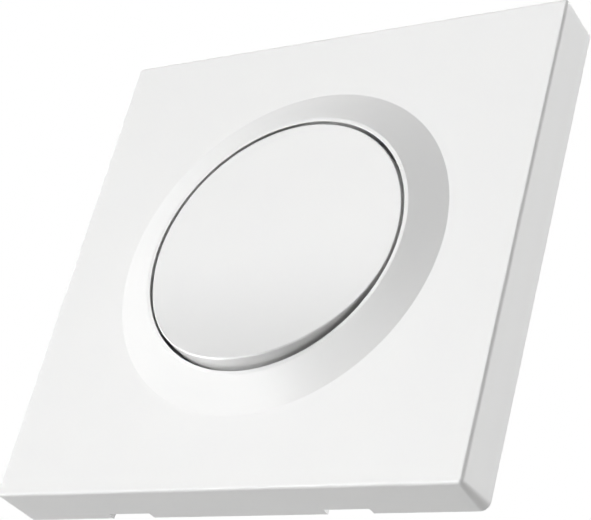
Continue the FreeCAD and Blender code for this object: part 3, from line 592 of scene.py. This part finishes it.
def tempered_spring_steel():
    """Spring strip, rolled and tempered: grey with a trace of straw colour, and rolling lines along X."""
    made, tree, place = fresh("tempered spring steel")
    rolled = add(tree, "ShaderNodeMapping", {"Vector": place, "Scale": (0.06, 1.0, 1.0)})
    lines = add(tree, "ShaderNodeTexNoise", {"Vector": rolled, "Scale": per_mm(0.14), "Detail": 3.0})
    heat = add(tree, "ShaderNodeTexNoise", {"Vector": place, "Scale": per_mm(3.0), "Detail": 2.0})
    tint = add(tree, "ShaderNodeMix", {0: heat, 6: paint("#A3A5A6"), 7: paint("#B9B09C")}, data_type="RGBA")
    sheen = add(tree, "ShaderNodeMapRange", {"Value": lines, "To Min": 0.2, "To Max": 0.38})
    bump = add(tree, "ShaderNodeBump", {"Height": lines, "Strength": 0.3, "Distance": 0.003 * mm})
    shader = add(tree, "ShaderNodeBsdfPrincipled",
                 {"Base Color": tint, "Roughness": sheen, "Normal": bump, "Metallic": 1.0})
    add(tree, "ShaderNodeOutputMaterial", {"Surface": shader})
    return made


def tinned_sheet_steel():
    """Sheet steel, drawn and hot tinned: pale, with soft frosted patches where the tin set."""
    made, tree, place = fresh("tinned sheet steel")
    frost = add(tree, "ShaderNodeTexVoronoi", {"Vector": place, "Scale": per_mm(1.6)}, feature="SMOOTH_F1")
    tint = add(tree, "ShaderNodeMix", {0: frost, 6: paint("#C3C6CA"), 7: paint("#D9DADA")}, data_type="RGBA")
    sheen = add(tree, "ShaderNodeMapRange", {"Value": frost, "To Min": 0.22, "To Max": 0.44})
    bump = add(tree, "ShaderNodeBump", {"Height": frost, "Strength": 0.2, "Distance": 0.006 * mm})
    shader = add(tree, "ShaderNodeBsdfPrincipled",
                 {"Base Color": tint, "Roughness": sheen, "Normal": bump, "Metallic": 1.0})
    add(tree, "ShaderNodeOutputMaterial", {"Surface": shader})
    return made


def stamped_brass_strip():
    """Brass strip, stamped: warm yellow, lightly tarnished in patches, with rolling lines along Y."""
    made, tree, place = fresh("stamped brass strip")
    rolled = add(tree, "ShaderNodeMapping", {"Vector": place, "Scale": (1.0, 0.05, 1.0)})
    lines = add(tree, "ShaderNodeTexNoise", {"Vector": rolled, "Scale": per_mm(0.15), "Detail": 3.0})
    tarnish = add(tree, "ShaderNodeTexNoise", {"Vector": place, "Scale": per_mm(2.5), "Detail": 3.0})
    tint = add(tree, "ShaderNodeMix",
               {0: tarnish, 6: paint("#BE9040"), 7: paint("#E0BB6C")}, data_type="RGBA")
    sheen = add(tree, "ShaderNodeMapRange", {"Value": lines, "To Min": 0.2, "To Max": 0.4})
    bump = add(tree, "ShaderNodeBump", {"Height": lines, "Strength": 0.3, "Distance": 0.004 * mm})
    shader = add(tree, "ShaderNodeBsdfPrincipled",
                 {"Base Color": tint, "Roughness": sheen, "Normal": bump, "Metallic": 1.0})
    add(tree, "ShaderNodeOutputMaterial", {"Surface": shader})
    return made


def solder_mask_on_glass_epoxy():
    """Glass-epoxy board, etched and coated with green solder mask: its tracks show as paler, raised runs."""
    made, tree, place = fresh("solder mask on glass epoxy")
    flat = add(tree, "ShaderNodeMapping", {"Vector": place, "Rotation": (math.pi / 2, 0, 0)})
    tracks = add(tree, "ShaderNodeTexBrick",
                 {"Vector": flat, "Color1": (0, 0, 0, 1), "Color2": (0, 0, 0, 1), "Mortar": (1, 1, 1, 1),
                  "Scale": per_mm(1.0), "Mortar Size": 0.12, "Brick Width": 3.1, "Row Height": 0.9})
    weave = add(tree, "ShaderNodeTexNoise", {"Vector": place, "Scale": per_mm(0.5), "Detail": 3.0})
    tint = add(tree, "ShaderNodeMix", {0: tracks, 6: paint("#124A2A"), 7: paint("#1F6B3C")}, data_type="RGBA")
    sheen = add(tree, "ShaderNodeMapRange", {"Value": weave, "To Min": 0.24, "To Max": 0.42})
    bump = add(tree, "ShaderNodeBump", {"Height": tracks, "Strength": 0.7, "Distance": 0.03 * mm})
    shader = add(tree, "ShaderNodeBsdfPrincipled",
                 {"Base Color": tint, "Roughness": sheen, "Normal": bump, "IOR": 1.5})
    add(tree, "ShaderNodeOutputMaterial", {"Surface": shader})
    return made


def glossy_polyester_blue():
    """Relay case of polyester, moulded in a polished mould, dark blue: high gloss, waved a little."""
    made, tree, place = fresh("glossy polyester blue")
    wave = add(tree, "ShaderNodeTexNoise", {"Vector": place, "Scale": per_mm(3.5), "Detail": 2.0})
    tint = add(tree, "ShaderNodeMix", {0: wave, 6: paint("#163265"), 7: paint("#1F4283")}, data_type="RGBA")
    sheen = add(tree, "ShaderNodeMapRange", {"Value": wave, "To Min": 0.14, "To Max": 0.28})
    bump = add(tree, "ShaderNodeBump", {"Height": wave, "Strength": 0.5, "Distance": 0.04 * mm})
    shader = add(tree, "ShaderNodeBsdfPrincipled",
                 {"Base Color": tint, "Roughness": sheen, "Normal": bump, "IOR": 1.55})
    add(tree, "ShaderNodeOutputMaterial", {"Surface": shader})
    return made


def sintered_ferrite():
    """Ferrite, pressed and sintered: dark grey, dry and finely pitted, with a few paler grains."""
    made, tree, place = fresh("sintered ferrite")
    grains = add(tree, "ShaderNodeTexVoronoi", {"Vector": place, "Scale": per_mm(0.25)})
    tint = add(tree, "ShaderNodeMix", {0: grains, 6: paint("#3B3B3D"), 7: paint("#212122")}, data_type="RGBA")
    sheen = add(tree, "ShaderNodeMapRange", {"Value": grains, "To Min": 0.58, "To Max": 0.82})
    bump = add(tree, "ShaderNodeBump", {"Height": grains, "Strength": 0.6, "Distance": 0.02 * mm})
    shader = add(tree, "ShaderNodeBsdfPrincipled", {"Base Color": tint, "Roughness": sheen, "Normal": bump})
    add(tree, "ShaderNodeOutputMaterial", {"Surface": shader})
    return made


def wound_polyester_tape():
    """Polyester film, wound over the coil, yellow: glossy, with a wrap's step every 4 mm along the core."""
    made, tree, place = fresh("wound polyester tape")
    wraps = add(tree, "ShaderNodeTexWave",
                {"Vector": place, "Scale": per_mm(4.0) / wave_lines, "Distortion": 0.6, "Detail": 1.0},
                bands_direction="Y", wave_profile="SAW")
    tint = add(tree, "ShaderNodeMix", {0: wraps, 6: paint("#D2A516"), 7: paint("#EBC646")}, data_type="RGBA")
    sheen = add(tree, "ShaderNodeMapRange", {"Value": wraps, "To Min": 0.16, "To Max": 0.32})
    bump = add(tree, "ShaderNodeBump", {"Height": wraps, "Strength": 0.5, "Distance": 0.05 * mm})
    shader = add(tree, "ShaderNodeBsdfPrincipled",
                 {"Base Color": tint, "Roughness": sheen, "Normal": bump, "IOR": 1.6})
    add(tree, "ShaderNodeOutputMaterial", {"Surface": shader})
    return made


def shrunk_film_black():
    """Heat-shrunk film sleeve of the capacitor, near black: glossy, with fine shrink ripples."""
    made, tree, place = fresh("shrunk film black")
    ripple = add(tree, "ShaderNodeTexNoise", {"Vector": place, "Scale": per_mm(1.2), "Detail": 2.0})
    tint = add(tree, "ShaderNodeMix", {0: ripple, 6: paint("#13151B"), 7: paint("#20242E")}, data_type="RGBA")
    sheen = add(tree, "ShaderNodeMapRange", {"Value": ripple, "To Min": 0.18, "To Max": 0.34})
    bump = add(tree, "ShaderNodeBump", {"Height": ripple, "Strength": 0.4, "Distance": 0.03 * mm})
    shader = add(tree, "ShaderNodeBsdfPrincipled",
                 {"Base Color": tint, "Roughness": sheen, "Normal": bump, "IOR": 1.54})
    add(tree, "ShaderNodeOutputMaterial", {"Surface": shader})
    return made


def dipped_epoxy_blue():
    """Epoxy, dipped over the varistor's disc, blue: a thick glossy coat with an orange-peel skin."""
    made, tree, place = fresh("dipped epoxy blue")
    peel = add(tree, "ShaderNodeTexNoise", {"Vector": place, "Scale": per_mm(0.6), "Detail": 2.0})
    tint = add(tree, "ShaderNodeMix", {0: peel, 6: paint("#1A4690"), 7: paint("#265CB4")}, data_type="RGBA")
    sheen = add(tree, "ShaderNodeMapRange", {"Value": peel, "To Min": 0.18, "To Max": 0.36})
    bump = add(tree, "ShaderNodeBump", {"Height": peel, "Strength": 0.6, "Distance": 0.03 * mm})
    shader = add(tree, "ShaderNodeBsdfPrincipled",
                 {"Base Color": tint, "Roughness": sheen, "Normal": bump, "IOR": 1.55})
    add(tree, "ShaderNodeOutputMaterial", {"Surface": shader})
    return made


made_materials = {
    "white_plastic": moulded_polycarbonate_white(),
    "light_grey_plastic": glass_filled_polyamide_grey(),
    "dark_grey_plastic": spark_eroded_polycarbonate_anthracite(),
    "black_plastic": moulded_polyester_black(),
    "orange_plastic": moulded_polyamide_orange(),
    "zinc_steel": zinc_plated_sheet_steel(),
    "polished_steel": drawn_bright_steel(),
    "spring_steel": tempered_spring_steel(),
    "tinned_steel": tinned_sheet_steel(),
    "contact_brass": stamped_brass_strip(),
    "circuit_board": solder_mask_on_glass_epoxy(),
    "relay_case": glossy_polyester_blue(),
    "ferrite": sintered_ferrite(),
    "winding_tape": wound_polyester_tape(),
    "capacitor_sleeve": shrunk_film_black(),
    "varistor_coating": dipped_epoxy_blue(),
}


def dress_nodes():
    """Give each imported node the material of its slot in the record."""
    for part in frame["record"]["subparts"]:
        for slot in frame["nodes"][part["node"]].material_slots:
            slot.material = made_materials[part["material_slot"]]


cover = cover_frame()
cap = rocker_cap()
for piece in (cover, cap):
    piece.data.materials.append(made_materials["white_plastic"])
dress_nodes()

# Camera, found from the plate's edges and corners in the photograph
camera_place = (180.101, -227.528, -156.928)
camera_right = (0.8311503, 0.5037255, 0.2354777)
camera_down = (-0.0818606, 0.5297175, -0.8442146)
camera_ahead = (-0.549989, 0.6823929, 0.4815101)
camera_lens = 129.44
sensor_width = 36.0
camera_near = 10.0
camera_far = 50000.0

# Floor and light
floor_z = -550.0
floor_reach = 1600.0
floor_white = 0.7
ambient = 0.088
lamp_distance = 520.0
lamp_size = 420.0
beam_spread = 25.0
beam_share = 0.2205

# Each lamp, the direction that it stands in, and its share of light
softboxes = (
    ("key softbox, left", (-0.75, -0.55, -0.37), 0.299),
    ("key softbox, front", (-0.45, -0.85, -0.28), 0.338),
    ("strip softbox, far left", (-0.90, -0.40, -0.20), 0.220),
    ("front softbox", (0.00, -1.00, 0.00), 0.055),
    ("sheen softbox, middle", (-0.50, -0.80, 0.34), 0.081),
    ("sheen softbox, left", (-0.70, -0.60, 0.35), 0.038),
    ("sheen softbox, upper", (-0.45, -0.67, 0.60), 0.037),
    ("side softbox, upper right", (0.50, 0.35, 0.79), 0.545),
    ("side softbox, right", (0.88, 0.42, -0.22), 0.335),
    ("low softbox, under", (-0.40, 0.30, -0.87), 0.055),
)


def place_camera():
    """The photograph's camera."""
    data = bpy.data.cameras.new("camera")
    data.lens = camera_lens
    data.sensor_width = sensor_width
    data.clip_start = camera_near * mm
    data.clip_end = camera_far * mm
    camera = bpy.data.objects.new("camera", data)
    turn = Matrix((camera_right, [-v for v in camera_down], [-v for v in camera_ahead])).transposed()
    camera.matrix_world = Matrix.Translation(Vector(camera_place) * mm) @ turn.to_4x4()
    bpy.context.scene.collection.objects.link(camera)
    bpy.context.scene.camera = camera


def softbox(name, direction, share):
    """A square lamp with a narrowed beam that faces the switch.

    Its share is how much of a facing surface's own colour it lights up. Its power is that share of the
    square of pi times its distance, times the part of it that the narrowed beam needs.
    """
    data = bpy.data.lights.new(name, "AREA")
    data.shape = "SQUARE"
    data.size = lamp_size * mm
    data.spread = math.radians(beam_spread)
    data.energy = share * beam_share * (math.pi * lamp_distance * mm) ** 2
    lamp = bpy.data.objects.new(name, data)
    lamp.location = Vector(direction).normalized() * lamp_distance * mm
    lamp.rotation_euler = Vector(direction).to_track_quat("Z", "Y").to_euler()
    lamp.visible_camera = False
    bpy.context.scene.collection.objects.link(lamp)


def background_rays(tree):
    """One for rays of the camera, of a reflection and through glass, and nought for all others."""
    path = add(tree, "ShaderNodeLightPath").outputs
    seen = add(tree, "ShaderNodeMath",
               {0: path["Is Camera Ray"], 1: path["Is Glossy Ray"]}, operation="MAXIMUM")
    return add(tree, "ShaderNodeMath", {0: seen, 1: path["Is Transmission Ray"]}, operation="MAXIMUM")


def white_world():
    """A dim even sky, which the camera and reflections see as a white studio background."""
    world = bpy.data.worlds.new("studio")
    bpy.context.scene.world = world
    world.use_nodes = True
    tree = world.node_tree
    tree.nodes.clear()
    strength = add(tree, "ShaderNodeMapRange",
                   {"Value": background_rays(tree), "To Min": ambient, "To Max": 1.0})
    sky = add(tree, "ShaderNodeBackground", {"Color": (1, 1, 1, 1), "Strength": strength})
    add(tree, "ShaderNodeOutputWorld", {"Surface": sky})


def pale_floor():
    """A matt painted board, pale near the switch, that turns into the white background away from it."""
    made, tree, place = fresh("painted board white")
    cloud = add(tree, "ShaderNodeTexNoise", {"Vector": place, "Scale": per_mm(40.0), "Detail": 3.0})
    tint = add(tree, "ShaderNodeMix", {0: cloud, 6: paint("#ECECEA"), 7: paint("#F0F0EE")}, data_type="RGBA")
    matt = add(tree, "ShaderNodeMapRange", {"Value": cloud, "To Min": 0.8, "To Max": 0.9})
    shader = add(tree, "ShaderNodeBsdfPrincipled", {"Base Color": tint, "Roughness": matt})
    away = add(tree, "ShaderNodeVectorMath", {0: place}, operation="LENGTH")
    fade = add(tree, "ShaderNodeMapRange",
               {"Value": away.outputs["Value"], "From Min": -floor_z * mm, "From Max": floor_reach * mm,
                "To Min": floor_white, "To Max": 1.0})
    share = add(tree, "ShaderNodeMath", {0: fade, 1: background_rays(tree)}, operation="MULTIPLY")
    white = add(tree, "ShaderNodeEmission", {"Color": (1, 1, 1, 1), "Strength": 1.0})
    surface = add(tree, "ShaderNodeMixShader", {0: share, 1: shader, 2: white})
    add(tree, "ShaderNodeOutputMaterial", {"Surface": surface})
    mesh = bpy.data.meshes.new("floor")
    corners = [(-floor_reach, -floor_reach), (floor_reach, -floor_reach), (floor_reach, floor_reach),
               (-floor_reach, floor_reach)]
    mesh.from_pydata([(x * mm, y * mm, floor_z * mm) for x, y in corners], [], [(0, 1, 2, 3)])
    mesh.materials.append(made)
    floor = bpy.data.objects.new("floor", mesh)
    bpy.context.scene.collection.objects.link(floor)


place_camera()
for name, direction, share in softboxes:
    softbox(name, direction, share)
white_world()
pale_floor()
bpy.context.scene.view_settings.view_transform = "Standard"
